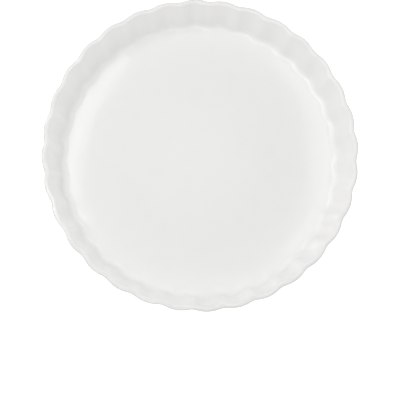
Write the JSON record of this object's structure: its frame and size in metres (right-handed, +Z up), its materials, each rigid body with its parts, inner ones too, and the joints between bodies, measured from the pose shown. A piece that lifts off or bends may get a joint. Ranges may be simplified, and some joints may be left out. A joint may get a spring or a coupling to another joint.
{
  "type": "fluted quiche dish",
  "caption": "Round white glazed porcelain quiche dish: low outward-sloping fluted wall, rounded rim, flat floor and a bare foot ring underneath.",
  "frame": {"origin": "middle of the plane that the foot ring stands on, on the dish's axis", "axes": "+Z up along the dish's axis, out of its open top; +X through the crest of one flute"},
  "size_m": [0.299, 0.299, 0.0415],
  "materials": {
    "bare_porcelain": "matt bare fired porcelain",
    "glaze": "glossy clear glaze over white porcelain"
  },
  "bodies": {
    "root": {"porcelain_body": "bare_porcelain", "glaze_coat": "glaze", "underside_glaze": "glaze"}
  },
  "joints": []
}
